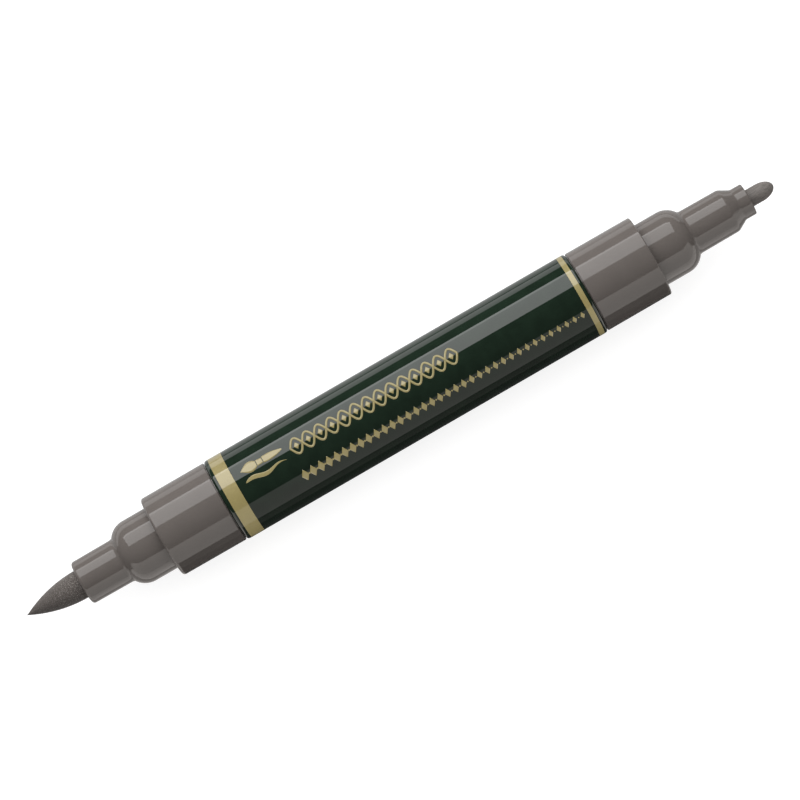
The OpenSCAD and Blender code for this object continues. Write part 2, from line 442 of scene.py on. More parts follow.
def outline_object(name, points, closed=True):
    """An outline as edges in the XZ plane, with Z the radius."""
    edges = [(i, i + 1) for i in range(len(points) - 1)]
    if closed:
        edges.append((len(points) - 1, 0))
    return new_object(name, [(p.x, 0.0, p.y) for p in points], edges)


def grow(piece, tree, **values):
    """Give a piece a node tree, with the tree's named inputs set before it is first evaluated."""
    modifier = piece.modifiers.new(tree.name, "NODES")
    modifier.node_group = tree
    for item in tree.interface.items_tree:
        if item.in_out == "INPUT" and item.name in values:
            modifier[item.identifier] = values.pop(item.name)
    if values:
        raise ValueError(f"{tree.name} has no input named {sorted(values)}")


def settle(piece):
    """Turn a piece's modifiers into its own mesh, with doubles merged and faces outwards."""
    grown = piece.evaluated_get(bpy.context.evaluated_depsgraph_get())
    mesh = bpy.data.meshes.new_from_object(grown)
    piece.modifiers.clear()
    old, piece.data = piece.data, mesh
    bpy.data.meshes.remove(old)
    mesh.name = piece.name
    work = bmesh.new()
    work.from_mesh(mesh)
    bmesh.ops.remove_doubles(work, verts=work.verts, dist=MERGE_DIST)
    bmesh.ops.recalc_face_normals(work, faces=work.faces)
    work.to_mesh(mesh)
    work.free()
    return piece


def turned_shape(nodes):
    """The outline turned about the marker's axis, inside a tree with a Sides input."""
    hoop_r = 1.0 * MM
    x, _, r = nodes.position()
    flat = nodes.moved(nodes.inputs["Geometry"], Position=nodes.joined(r - hoop_r, x * -1.0, 0.0))
    profile = nodes.add("GeometryNodeMeshToCurve", {0: flat})
    hoop = nodes.add("GeometryNodeCurvePrimitiveCircle", {
        "Resolution": nodes.inputs["Sides"], "Radius": hoop_r,
    })
    shape = nodes.add("GeometryNodeCurveToMesh", {"Curve": hoop, "Profile Curve": profile})
    shape = nodes.placed(shape, Translation=(0, 0, AXIS_Z), Rotation=(0, PI / 2, 0))
    return nodes.add("GeometryNodeMergeByDistance", {"Geometry": shape, "Distance": MERGE_DIST})


def rib_ring(nodes):
    """Straight ribs set evenly round the axis, from the inputs Ribs, Rib radius, Rib depth, Rib
    width, Ribs start and Ribs length."""
    given = nodes.inputs
    ring = nodes.add("GeometryNodeMeshCircle", {
        "Vertices": given["Ribs"], "Radius": given["Rib radius"] + given["Rib depth"] / 2,
    })
    rib = nodes.add("GeometryNodeMeshCube", {
        "Size": nodes.joined(given["Rib depth"], given["Rib width"], given["Ribs length"]),
    })
    outwards = nodes.add("FunctionNodeAlignRotationToVector", {
        "Vector": nodes.add("GeometryNodeInputPosition"),
    }, axis="X", pivot_axis="Z")
    middle = nodes.joined(given["Ribs start"] + given["Ribs length"] / 2, 0.0, AXIS_Z)
    ribs = nodes.set_on(ring, rib, Rotation=outwards)
    return nodes.placed(ribs, Rotation=(0, PI / 2, 0), Translation=middle)


def turned_tree(name, finish):
    """Tree of a plain turned piece."""
    nodes = GeometryNodes(name, {"Sides": 192})
    return nodes.finish(turned_shape(nodes), finish)


def ribbed_tree(name, finish):
    """Tree of a turned piece with a ring of ribs inside it."""
    nodes = GeometryNodes(name, {
        "Sides": 192, "Ribs": 6, "Rib radius": 0.0, "Rib depth": 0.0, "Rib width": 0.0,
        "Ribs start": 0.0, "Ribs length": 0.0,
    })
    return nodes.finish(nodes.joined_up(turned_shape(nodes), rib_ring(nodes)), finish)


def ribs_between(start, end, inner_r, outer_r, width):
    """Values for a ribbed tree's inputs."""
    return {
        "Ribs start": min(start, end), "Ribs length": abs(end - start), "Rib radius": inner_r,
        "Rib depth": outer_r - inner_r, "Rib width": width,
    }


def hand_over(piece, body, slot, *nodes):
    """Let a piece ride on a body and stand for CAD nodes. Its slot is not used."""
    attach(piece, body)
    if nodes:
        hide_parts(*nodes)


def turn_piece(name, points, tree, slot, node, **values):
    """Turn a closed outline into a piece of the barrel's body that stands for a CAD node."""
    piece = outline_object(name, points)
    grow(piece, tree, Sides=bpy.context.scene.marker_sizes.sides, **values)
    hand_over(settle(piece), "barrel", slot, node)


# ---- finishes


def new_finish(name, fill, given):
    """A new material, filled by a function that gets its nodes, the place on the marker in
    millimetres, and the properties that it reads."""
    made = bpy.data.materials.new(name)
    made.use_nodes = True
    nodes = Nodes(made.node_tree)
    place = nodes.add("ShaderNodeTexCoord", output="Object")
    fill(nodes, nodes.scaled(place, 1 / MM), given)
    return made


def finish_surface(nodes, bump=None, bump_depth=0.0, **sockets):
    """Close a material with one Principled BSDF. The bump's depth is in metres."""
    values = {name.replace("_", " "): value for name, value in sockets.items()}
    if bump is not None:
        values["Normal"] = nodes.add("ShaderNodeBump", {
            "Height": bump, "Distance": bump_depth, "Strength": 1.0,
        })
    surface = nodes.add("ShaderNodeBsdfPrincipled", values)
    nodes.add("ShaderNodeOutputMaterial", {"Surface": surface})


def opaque(rgb, strength=1.0):
    """A colour that many times as bright, for a colour socket."""
    return (*(part * strength for part in rgb), 1.0)


def neutral(value):
    """A grey, for a colour socket."""
    return (value, value, value, 1.0)


def lengthwise(nodes, place, stretch):
    """Coordinates that draw a pattern out along the marker."""
    return nodes.add("ShaderNodeMapping", {"Vector": place, "Scale": (1 / stretch, 1, 1)})


def barrel_finish(nodes, place, colours):
    """Gloss plastic, nearly black green, with faint handling marks."""
    rgb = colours.barrel
    smudge = nodes.between(nodes.noise(place, 0.16, 3.0), 0.52, 0.72)
    hairs = nodes.between(nodes.noise(lengthwise(nodes, place, 14), 5.0, 1.0), 0.70, 0.76)
    cloud = nodes.between(nodes.noise(place, 0.5, 2.0), 0.3, 0.7)
    base = nodes.mixed(cloud, opaque(rgb, 0.9), opaque(rgb, 1.12))
    finish_surface(
        nodes, nodes.noise(place, 1.3, 1.0), 0.0006 * MM, Base_Color=base,
        Roughness=0.022 + smudge * 0.025 + hairs * 0.05, IOR=1.5,
    )


def grey_finish(nodes, place, colours):
    """Warm grey moulded plastic, gloss, with fine mould texture."""
    rgb = colours.grey
    cloud = nodes.between(nodes.noise(place, 0.35, 3.0), 0.3, 0.7)
    speck = nodes.between(nodes.noise(place, 9.0, 1.0), 0.68, 0.80)
    base = nodes.mixed(cloud, opaque(rgb, 0.98), opaque(rgb, 1.02))
    base = nodes.mixed(speck * 0.35, base, opaque(rgb, 0.6))
    smudge = nodes.between(nodes.noise(place, 0.22, 3.0), 0.50, 0.72)
    finish_surface(
        nodes, nodes.noise(place, 2.2, 2.0), 0.0008 * MM, Base_Color=base,
        Roughness=0.05 + smudge * 0.05 + speck * 0.1, IOR=1.5, Specular_IOR_Level=0.41,
    )


def foil_finish(nodes, place, colours):
    """Gold foil under a clear gloss coat, with a fine flake and pinholes, and a painted glow."""
    rgb = colours.foil
    flake = nodes.noise(place, 14.0, 2.0, 0.7)
    tone = nodes.between(flake, 0.3, 0.7)
    base = nodes.mixed(tone, opaque(rgb, 0.86), opaque(rgb, 1.12))
    pinhole = nodes.between(nodes.noise(place, 22.0, 0.0), 0.78, 0.84)
    base = nodes.mixed(pinhole * 0.6, base, opaque(rgb, 0.3))
    finish_surface(
        nodes, flake, 0.0015 * MM, Base_Color=base, Metallic=0.3,
        Roughness=0.5 + tone * 0.1, Coat_Weight=1.0, Coat_Roughness=0.03, Coat_IOR=1.6,
        # Painted glow: the foil gives off light of its own, in place of studio light that it would
        # reflect.
        Emission_Color=base, Emission_Strength=1.15,
    )


def felt_finish(nodes, place, colours):
    """Matte felt, soaked with ink: dark grain, pale fibre ends and a darker tip."""
    tip, mouth = BRUSH.x(BRUSH.nib_tip) / MM, BRUSH.x(BRUSH.mouth) / MM
    near_mouth = nodes.between(nodes.parts(place)[0], tip, mouth)
    grain = nodes.noise(place, 5.0, 4.0, 0.7)
    fibre_ends = nodes.between(nodes.noise(place, 7.0, 1.0, 0.6), 0.58, 0.66)
    fleck = fibre_ends * (near_mouth * 0.4 + 0.6)
    dark = opaque(colours.felt, 0.6)
    base = nodes.mixed(nodes.between(grain, 0.35, 0.62), dark, opaque(colours.felt))
    base = nodes.mixed(fleck * 0.9, base, opaque(colours.flecks))
    base = nodes.mixed((1 - near_mouth) * 0.5, base, dark)
    finish_surface(
        nodes, grain, 0.05 * MM, Base_Color=base, Roughness=0.92, Sheen_Weight=0.15,
        Sheen_Roughness=0.5, Specular_IOR_Level=0.1,
    )


def bullet_finish(nodes, place, colours):
    """Bundled fibre of the fine nib, streaked along its length."""
    strands = nodes.noise(lengthwise(nodes, place, 12), 7.0, 3.0, 0.6)
    grain = nodes.noise(place, 12.0, 2.0, 0.6)
    dark = opaque(colours.bullet, 0.6)
    base = nodes.mixed(nodes.between(strands, 0.35, 0.6), dark, opaque(colours.bullet))
    base = nodes.mixed(nodes.between(grain, 0.62, 0.75) * 0.5, base, opaque(colours.flecks))
    finish_surface(
        nodes, strands * 0.7 + grain * 0.3, 0.03 * MM, Base_Color=base,
        Roughness=0.62 + grain * 0.2, Specular_IOR_Level=0.4,
    )


def reservoir_finish(nodes, place, colours):
    """Bonded fibre, soaked with ink, with strands along its length."""
    rgb = colours.ink
    strands = nodes.noise(lengthwise(nodes, place, 30), 4.0, 3.0, 0.6)
    tone = nodes.between(strands, 0.3, 0.7)
    base = nodes.mixed(tone, opaque(rgb, 0.6), opaque(rgb, 1.6))
    finish_surface(nodes, strands, 0.05 * MM, Base_Color=base, Roughness=0.85)


def film_finish(nodes, place, colours):
    """Thin plastic wrap, with faint creases along it."""
    rgb = colours.film
    crease = nodes.noise(lengthwise(nodes, place, 8), 0.8, 2.0)
    tone = nodes.between(crease, 0.35, 0.65)
    base = nodes.mixed(tone, opaque(rgb, 0.88), opaque(rgb))
    finish_surface(nodes, crease, 0.02 * MM, Base_Color=base, Roughness=0.18 + tone * 0.1)


# What each slot's material is called, and what fills it.
FINISHES = {
    "barrel_plastic": ("barrel_gloss_plastic", barrel_finish),
    "grey_plastic": ("grey_gloss_plastic", grey_finish),
    "gold_foil": ("gold_foil", foil_finish),
    "nib_felt": ("inked_felt", felt_finish),
    "nib_fibre": ("bundled_fibre", bullet_finish),
    "reservoir_fibre": ("inked_fibre", reservoir_finish),
    "clear_film": ("wrap_film", film_finish),
}
made_finishes = {}


def finish_of(slot):
    """The material of a slot, made once."""
    if slot not in made_finishes:
        name, fill = FINISHES[slot]
        made_finishes[slot] = new_finish(name, fill, bpy.context.scene.marker_colours)
    return made_finishes[slot]


# ---- the pieces


class MARKER_OT_barrel(bpy.types.Operator):
    """Make the barrel, with its centring ribs, and the two foil bands that lie in it"""

    bl_idname = "marker.barrel"
    bl_label = "Barrel and Bands"

    def execute(self, context):
        sizes = context.scene.marker_sizes
        surface_r = BARREL_R - sizes.foil_step
        groove_r = BARREL_R - BAND_GROOVE
        bore_edge = 0.04 * MM
        x0, x1 = BARREL_LOW.x, BARREL_HIGH.x
        bands = {
            name: (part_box(name)[0].x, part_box(name)[1].x)
            for name in ("wide_gold_band", "narrow_gold_band")
        }
        corners = [(x0, BORE_R, bore_edge), (x0, surface_r, sizes.barrel_round)]
        for low, high in bands.values():
            corners += [
                (low, surface_r, 0.0), (low, groove_r, 0.0),
                (high, groove_r, 0.0), (high, surface_r, 0.0),
            ]
        corners += [(x1, surface_r, sizes.barrel_round), (x1, BORE_R, bore_edge)]
        rib_gap, rib_root, rib_width = 0.3 * MM, 0.3 * MM, 0.7 * MM
        ribs = ribs_between(
            x0 + PLUG_LEN + rib_gap, x1 - PLUG_LEN - rib_gap, RESERVOIR_SPACE_R,
            BORE_R + rib_root, rib_width,
        )
        tree = ribbed_tree("Ribbed barrel", finish_of("barrel_plastic"))
        turn_piece("barrel_body", outline(corners), tree, "barrel_plastic", "barrel_tube", **ribs)

        tree = turned_tree("Foil band", finish_of("gold_foil"))
        gap, top_r, edge = 0.004 * MM, BARREL_R - 0.002 * MM, 0.008 * MM
        for name, (low, high) in bands.items():
            corners = [
                (low + gap, groove_r + gap, 0.0), (low + gap, top_r, edge),
                (high - gap, top_r, edge), (high - gap, groove_r + gap, 0.0),
            ]
            points = outline(corners, support=0.02 * MM)
            turn_piece(name.replace("band", "foil"), points, tree, "gold_foil", name)
        return {"FINISHED"}


class MARKER_OT_collars(bpy.types.Operator):
    """Make the two collars, whose registers butt against the barrel"""

    bl_idname = "marker.collars"
    bl_label = "Collars"

    def execute(self, context):
        sizes = context.scene.marker_sizes
        tree = turned_tree("Turned collar", finish_of("grey_plastic"))
        register_r = BORE_R + 0.5 * MM
        taper = 0.03 * MM
        back_edge, hole_edge = 0.12 * MM, 0.1 * MM
        hole_r = sizes.shoulder_r + RUNNING_GAP
        for end, face_round in ((BRUSH, sizes.brush_face_round), (FINE, sizes.fine_face_round)):
            back = -end.collar_len
            corners = [
                (back - SEAM, BORE_R, 0.0), (back - SEAM, register_r, 0.0),
                (back, register_r, 0.0), (back, end.collar_r, back_edge),
                (0.0, end.collar_r - taper, face_round), (0.0, hole_r, hole_edge),
                (-STEP_DEPTH, hole_r, 0.0), (-STEP_DEPTH, BORE_R, 0.0),
            ]
            name, points = f"{end.name}_collar", outline(end.along(corners))
            turn_piece(f"{name}_shell", points, tree, "grey_plastic", name)
        return {"FINISHED"}


def holder_back(sizes, plug_end):
    """Outside of a holder from its plug to the root of its neck."""
    lead_in, lead_len = 0.3 * MM, 0.4 * MM
    step_r = sizes.shoulder_r - 0.5 * MM
    centre_r = sizes.shoulder_r - sizes.dome_r
    turn = math.degrees(math.acos((sizes.neck_r - centre_r) / sizes.dome_r))
    short_of_neck = 2.0
    return [
        (plug_end, BORE_R - lead_in, 0.0), (plug_end + lead_len, BORE_R, 0.0),
        (-STEP_DEPTH, BORE_R, 0.0), (-STEP_DEPTH, step_r, 0.0),
        (0.0, step_r, 0.0), (0.0, sizes.shoulder_r, 0.04 * MM),
        *smooth_arc((sizes.shoulder_len, centre_r), sizes.dome_r, 0.0, turn - short_of_neck),
        (sizes.shoulder_len + NECK_ROOT, sizes.neck_r, sizes.neck_fillet),
    ]


def brush_mouth(sizes, mouth, bore_r):
    """End of the brush's neck, and the radius of its bore there."""
    return [(mouth, sizes.neck_end_r, sizes.mouth_round), (mouth, bore_r, 0.1 * MM)], bore_r


def fine_mouth(sizes, mouth, bore_r):
    """Neck, cone and lip of the fine end, and the radius of the lip's bore."""
    lip_start = mouth - sizes.lip_len
    neck_end = lip_start - sizes.cone_len
    lip_wall = 0.7 * MM
    lip_bore = sizes.lip_r - lip_wall
    cone_back, cone_front, lip_edge, bore_edge = 1.3 * MM, 0.8 * MM, 0.14 * MM, 0.05 * MM
    lip_back, bore_front = neck_end - 1 * MM, neck_end - 2 * MM
    return [
        (neck_end, sizes.neck_end_r, cone_back), (lip_start, sizes.lip_r, cone_front),
        (mouth, sizes.lip_r, lip_edge), (mouth, lip_bore, bore_edge),
        (lip_back, lip_bore, bore_edge), (bore_front, bore_r, bore_edge),
    ], lip_bore


def holder_inside(sizes, plug_end, bore_r):
    """Inside of a holder, from the neck's bore to the open end of its plug."""
    shoulder_wall, bore_start, edge = 1.06 * MM, 1.4 * MM, 0.1 * MM
    cavity_r = sizes.shoulder_r - shoulder_wall
    stop = -1 * MM
    return [
        (sizes.shoulder_len + bore_start, bore_r, edge), (sizes.shoulder_len, cavity_r, edge),
        (stop, cavity_r, 0.0), (stop, RESERVOIR_SPACE_R, 0.0),
        (plug_end, RESERVOIR_SPACE_R, 0.0),
    ]


class MARKER_OT_holders(bpy.types.Operator):
    """Make the two nib holders: plug, shoulder, dome, neck and the ribs that grip the nib"""

    bl_idname = "marker.holders"
    bl_label = "Nib Holders"

    def execute(self, context):
        sizes = context.scene.marker_sizes
        tree = ribbed_tree("Ribbed holder", finish_of("grey_plastic"))
        neck_wall, rib_root = 0.82 * MM, 0.25 * MM
        inside_mouth, beyond_shoulder, fine_grip_len = 0.4 * MM, 2 * MM, 4.6 * MM
        bore_r = sizes.neck_r - neck_wall
        for end in (BRUSH, FINE):
            if end is BRUSH:
                front, front_bore = brush_mouth(sizes, end.mouth, bore_r)
                grip_start = sizes.shoulder_len + beyond_shoulder
            else:
                front, front_bore = fine_mouth(sizes, end.mouth, bore_r)
                grip_start = end.mouth - fine_grip_len
            corners = holder_back(sizes, end.plug_end) + front
            corners += holder_inside(sizes, end.plug_end, bore_r)
            ribs = ribs_between(
                end.x(grip_start), end.x(end.mouth - inside_mouth), end.nib_r + RUNNING_GAP,
                front_bore + rib_root, sizes.grip_rib,
            )
            name, points = f"{end.name}_holder", outline(end.along(corners))
            turn_piece(f"{name}_body", points, tree, "grey_plastic", name, **ribs)
        return {"FINISHED"}


def brush_profile(end, straight=0.2 * MM):
    """Radius of the brush nib by distance: straight, then an arc that narrows it to a point."""
    reach = end.nib_tip - end.mouth - straight
    arc_r = (reach ** 2 + end.nib_r ** 2) / (2 * end.nib_r)

    def radius(t):
        beyond = max(0.0, t - end.mouth - straight)
        return max(0.0, math.sqrt(arc_r ** 2 - beyond ** 2) - arc_r + end.nib_r)

    return radius


def relief_tree(name, finish, draw_out):
    """Turned nib whose surface is roughened by noise from the input Mouth to the input Tip, and
    less and less towards the tip. The noise is drawn out along the marker."""
    nodes = GeometryNodes(name, {
        "Sides": 192, "Grain": 0.16 * MM, "Relief": 0.03 * MM, "Mouth": 0.0, "Tip": 0.0,
    })
    given = nodes.inputs
    shape = turned_shape(nodes)
    x, y, z = nodes.position()
    place = nodes.scaled(nodes.joined(x / draw_out, y, z), 1.0 / given["Grain"])
    middle, fade_start = 0.55, 0.86
    rough = nodes.noise(place, 1.0, 2.0, 0.6) - middle
    beyond, free_len = x - given["Mouth"], given["Tip"] - given["Mouth"]
    fade = 1 - nodes.between(nodes.maths("ABSOLUTE", beyond / free_len), fade_start, 1.0)
    outside = nodes.maths("GREATER_THAN", beyond * free_len, 0.0)
    lift = rough * given["Relief"] * fade * outside
    normal = nodes.add("GeometryNodeInputNormal")
    return nodes.finish(nodes.moved(shape, Offset=nodes.scaled(normal, lift)), finish)


def fuzz_tree(finish):
    """Loose fibre ends that stand out of the surface they are grown on."""
    nodes = GeometryNodes("Felt fuzz", {
        "Count": 900, "Seed": 7, "Fibre length": 0.22 * MM, "Fibre radius": 0.006 * MM,
    })
    given = nodes.inputs
    skin = given["Geometry"]
    area = nodes.add("GeometryNodeAttributeStatistic", {
        "Geometry": skin, "Attribute": nodes.add("GeometryNodeInputMeshFaceArea"),
    }, output="Sum", domain="FACE")
    spread = nodes.add("GeometryNodeDistributePointsOnFaces", {
        "Mesh": skin, "Density": given["Count"] / area, "Seed": given["Seed"],
    })
    normal = Wire(nodes, spread.socket.node.outputs["Normal"])
    lean = nodes.add("FunctionNodeRandomValue", {
        0: (-1.0, -1.0, -1.0), 1: (1.0, 1.0, 1.0), "Seed": given["Seed"],
    }, data_type="FLOAT_VECTOR")
    most_lean, shortest = 1.1, 0.35
    direction = nodes.vector("ADD", normal, nodes.scaled(lean, most_lean))
    fibre = nodes.add("GeometryNodeMeshCone", {
        "Vertices": 4, "Side Segments": 3, "Radius Top": given["Fibre radius"] * 0.25,
        "Radius Bottom": given["Fibre radius"], "Depth": given["Fibre length"],
    }, fill_type="TRIANGLE_FAN")
    turn = nodes.add("FunctionNodeAlignRotationToVector", {"Vector": direction}, axis="Z")
    size = nodes.add("FunctionNodeRandomValue", {
        2: shortest, 3: 1.0, "Seed": given["Seed"] + 1,
    }, output=1, data_type="FLOAT")
    fibres = nodes.set_on(spread, fibre, Rotation=turn, Scale=nodes.joined(1.0, 1.0, size))
    return nodes.finish(fibres, finish)


def turned_nib(name, end, tail_round, corners, tree, **values):
    """A nib turned from its tail and then those corners, which end in a point on the axis."""
    tail = [(end.nib_tail, 0.0, None), (end.nib_tail, end.nib_r, tail_round)]
    points = outline(end.along(tail + corners), closed=False)
    points[-1].y = 0.0
    nib = outline_object(name, points, closed=False)
    grow(nib, tree, Mouth=end.x(end.mouth), Tip=end.x(end.nib_tip), **values)
    return settle(nib)


def outer_skin(nib, mouth_x):
    """A copy of the nib's surface outside its holder, for the fuzz to grow on."""
    skin = new_object("brush_nib_fuzz")
    work = bmesh.new()
    work.from_mesh(nib.data)
    inner = [v for v in work.verts if v.co.x > mouth_x]
    bmesh.ops.delete(work, geom=inner, context="VERTS")
    work.to_mesh(skin.data)
    work.free()
    return skin


class MARKER_OT_brush_nib(bpy.types.Operator):
    """Make the brush nib in one piece of felt that reaches beyond its holder, and its fuzz"""

    bl_idname = "marker.brush_nib"
    bl_label = "Brush Nib"

    def execute(self, context):
        sizes = context.scene.marker_sizes
        felt = finish_of("nib_felt")
        radius = brush_profile(BRUSH)
        rings = 190
        start = BRUSH.mouth - INSIDE_MOUTH
        outside = [start + (BRUSH.nib_tip - start) * i / rings for i in range(rings)]
        corners = [(t, radius(t), None) for t in outside]
        point_r = 0.12 * MM
        corners += smooth_arc((BRUSH.nib_tip - point_r, 0.0), point_r, 25.0, 90.0, 5)
        nib = turned_nib(
            "brush_nib_felt", BRUSH, 0.15 * MM, corners, relief_tree("Felt surface", felt, 1.0),
            Sides=224, Grain=sizes.felt_grain, Relief=sizes.felt_relief,
        )

        bare_len = 0.3 * MM
        fuzz = outer_skin(nib, BRUSH.x(BRUSH.mouth) - bare_len)
        grow(fuzz, fuzz_tree(felt), Count=sizes.fuzz_count)
        settle(fuzz)

        half_bend = 1.25 * MM
        start, end = (BEND_X + half_bend, 0.0, AXIS_Z), (BEND_X - half_bend, 0.0, AXIS_Z)
        for piece in (nib, fuzz):
            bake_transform(piece)
            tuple(start)
            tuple(end)
        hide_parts("brush_nib_shank", "brush_nib_tip")
        return {"FINISHED"}


class MARKER_OT_fine_nib(bpy.types.Operator):
    """Make the fine nib, a bullet of bundled fibre"""

    bl_idname = "marker.fine_nib"
    bl_label = "Fine Nib"

    def execute(self, context):
        sizes = context.scene.marker_sizes
        round_len = 2.5 * MM
        straight_end = FINE.nib_tip - round_len
        rings, round_rings = 40, 48
        start = FINE.mouth - INSIDE_MOUTH
        corners = [
            (start + (straight_end - start) * i / rings, FINE.nib_r, None) for i in range(rings)
        ]
        for i in range(round_rings + 1):
            a = PI / 2 * i / round_rings
            corners.append(
                (straight_end + round_len * math.sin(a), FINE.nib_r * math.cos(a), None)
            )
        tree = relief_tree("Bundled fibre surface", finish_of("nib_fibre"), 9.0)
        nib = turned_nib(
            "fine_nib_bullet", FINE, 0.1 * MM, corners, tree, Sides=192, Grain=sizes.fibre_grain,
            Relief=sizes.fibre_relief,
        )
        hand_over(nib, "fine_nib", "nib_fibre", "fine_nib")
        return {"FINISHED"}


class MARKER_OT_reservoir(bpy.types.Operator):
    """Give the fibre reservoir and its film, which the barrel hides, their finishes"""

    bl_idname = "marker.reservoir"
    bl_label = "Reservoir"

    def execute(self, context):
        for node, slot in (("reservoir_core", "reservoir_fibre"), ("reservoir_film", "clear_film")):
            part = frame["nodes"][node]
            part.data.materials.clear()
            part.data.materials.append(finish_of(slot))
        return {"FINISHED"}


# ---- foil ornament


def wrapped(nodes, shape):
    """Flat foil laid on the barrel: X stays, Y goes round the barrel and Z is its height."""
    x, y, z = nodes.position()
    r = z + (BARREL_R - bpy.context.scene.marker_sizes.foil_step - FOIL_SUNK)
    angle = y / BARREL_R
    across, up = r * nodes.maths("SINE", angle), r * nodes.maths("COSINE", angle)
    return nodes.moved(shape, Position=nodes.joined(x, across, up + AXIS_Z))


def lozenge(nodes, width, height, thickness):
    """A flat lozenge, with enough faces to follow the barrel."""
    side = 1.0 / math.sqrt(2)
    block = nodes.add("GeometryNodeMeshCube", {
        "Size": (side, side, 1.0), "Vertices X": 7, "Vertices Y": 7,
    })
    turned = nodes.placed(block, Rotation=(0, 0, PI / 4))
    return nodes.placed(turned, Scale=nodes.joined(width, height, thickness))


def wave_tree(finish):
    """Two waves that cross each other, with a lozenge in every loop."""
    nodes = GeometryNodes("Wave row", {
        "Start": 0.0, "Length": 0.0, "Waves": 7, "Place": 0.0, "Height": 0.0, "Line": 0.0,
        "Thickness": FOIL_THICKNESS,
    })
    given = nodes.inputs
    steps_per_wave = 48
    steps = given["Waves"] * steps_per_wave
    line = nodes.row(steps + 1, given["Start"], 0.0, 0.0, given["Length"] / steps)
    strands = []
    lower_strand = 0.003 * MM
    for side, drop in ((1.0, 0.0), (-1.0, lower_strand)):
        x = nodes.position()[0]
        turn = (x - given["Start"]) / given["Length"] * given["Waves"] * (2 * PI)
        swing = nodes.maths("SINE", turn) * (given["Height"] - given["Line"]) * (0.5 * side)
        bent = nodes.joined(x, swing + given["Place"], given["Thickness"] / 2)
        bent = nodes.moved(line, Position=bent)
        path = nodes.add("GeometryNodeMeshToCurve", {0: bent})
        path = nodes.add("GeometryNodeSetCurveNormal", {"Curve": path}, mode="Z_UP")
        section = nodes.add("GeometryNodeCurvePrimitiveQuadrilateral", {
            "Width": given["Line"], "Height": given["Thickness"] - drop,
        })
        strands.append(nodes.add("GeometryNodeCurveToMesh", {
            "Curve": path, "Profile Curve": section, "Fill Caps": True,
        }))
    wave = given["Length"] / given["Waves"]
    loops = nodes.row(
        given["Waves"] * 2, given["Start"] + wave / 4, given["Place"], given["Thickness"] / 2,
        wave / 2,
    )
    eye_width, eye_height = given["Height"] * 0.3, given["Height"] * 0.4
    eye = lozenge(nodes, eye_width, eye_height, given["Thickness"])
    eyes = nodes.add("GeometryNodeRealizeInstances", {0: nodes.set_on(loops, eye)})
    return nodes.finish(wrapped(nodes, nodes.joined_up(*strands, eyes)), finish)


def lozenge_tree(finish):
    """A row of lozenges that fall from broad to fine, with a dot between neighbours."""
    nodes = GeometryNodes("Lozenge row", {
        "Start": 0.0, "Length": 0.0, "Count": 36, "Place": 0.0, "Broad": 0.0, "Fine": 0.0,
        "Thickness": FOIL_THICKNESS,
    })
    given = nodes.inputs
    pitch = given["Length"] / (given["Count"] - 1)
    rows = []
    lozenges, dots = (given["Count"], 0.0, 1.0, 0.6), (given["Count"] - 1, 0.5, 0.2, 1.0)
    for number, shift, share, slimness in (lozenges, dots):
        points = nodes.row(
            number, given["Start"] + pitch * shift, given["Place"], given["Thickness"] / 2, pitch
        )
        fall = nodes.add("GeometryNodeInputIndex") / given["Count"]
        height = (given["Broad"] + (given["Fine"] - given["Broad"]) * fall) * share
        size = nodes.joined(height * slimness, height, given["Thickness"])
        rows.append(nodes.set_on(points, lozenge(nodes, 1.0, 1.0, 1.0), Scale=size))
    shape = nodes.add("GeometryNodeRealizeInstances", {0: nodes.joined_up(*rows)})
    return nodes.finish(wrapped(nodes, shape), finish)


def sign_tree(finish):
    """A paint brush seen from the side, hair, ferrule and handle, over its painted stroke."""
    nodes = GeometryNodes("Brush sign", {
        "Start": 0.0, "Length": 0.0, "Place": 0.0, "Thickness": FOIL_THICKNESS,
    })
    given = nodes.inputs
    parts = []
    above_middle, below_middle, stroke_swing = 0.105, 0.16, 0.035
    shapes = (
        ("hair", 0.0, 0.38, 0.125), ("ferrule", 0.395, 0.13, 0.072), ("handle", 0.54, 0.46, 0.082),
        ("stroke", 0.0, 1.0, 0.05),
    )
    for kind, start, share, half in shapes:
        block = nodes.add("GeometryNodeMeshCube", {
            "Size": (1.0, 2.0, 1.0), "Vertices X": 49, "Vertices Y": 7,
        })
        x, y, z = nodes.position()
        along = x + 0.5
        lift = above_middle
        if kind == "hair":
            girth = nodes.maths("SINE", along * (0.8 * PI)) ** 1.2
        elif kind == "ferrule":
            girth = 1 - along * 0.2
        elif kind == "handle":
            girth = nodes.maths("SINE", (along * 0.62 + 0.34) * PI) ** 0.9
        else:
            girth = nodes.maths("SINE", along ** 0.6 * PI)
            lift = nodes.maths("SINE", along * (3 * PI)) * stroke_swing - below_middle
        parts.append(nodes.moved(block, Position=nodes.joined(
            given["Start"] + given["Length"] * (along * share + start),
            given["Place"] + given["Length"] * (y * girth * half + lift),
            (z + 0.5) * given["Thickness"],
        )))
    return nodes.finish(wrapped(nodes, nodes.joined_up(*parts)), finish)


